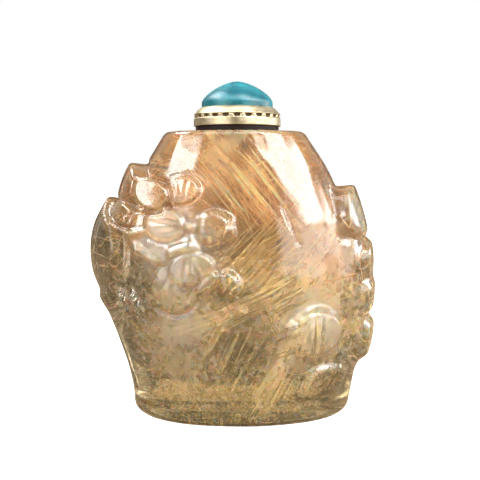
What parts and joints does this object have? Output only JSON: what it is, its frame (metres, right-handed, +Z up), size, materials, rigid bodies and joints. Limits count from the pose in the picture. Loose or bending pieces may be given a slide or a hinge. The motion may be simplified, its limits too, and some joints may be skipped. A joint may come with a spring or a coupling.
{
  "type": "snuff bottle",
  "caption": "Carved rutilated quartz snuff bottle with a blossom and rocks in relief, flat oval foot, and a domed turquoise stopper in a gilt bezel.",
  "frame": {"origin": "on the foot's flat underside, straight below the middle of the mouth", "axes": "+Z up through the mouth, -Y out of the front that carries the blossom, +X to the right of someone facing the front"},
  "size_m": [0.0509, 0.0345, 0.0585],
  "materials": {
    "quartz": "polished clear rutilated quartz, warm tan with golden needles",
    "collar": "near-black brown, dull",
    "gilt": "pale gilding, softly polished",
    "turquoise": "polished opaque blue-green stone",
    "cork": "raw cork"
  },
  "bodies": {
    "root": {"bottle": "quartz", "stopper_collar": "collar", "stopper_bezel": "gilt", "stopper_cabochon": "turquoise", "stopper_cork": "cork"}
  },
  "joints": []
}
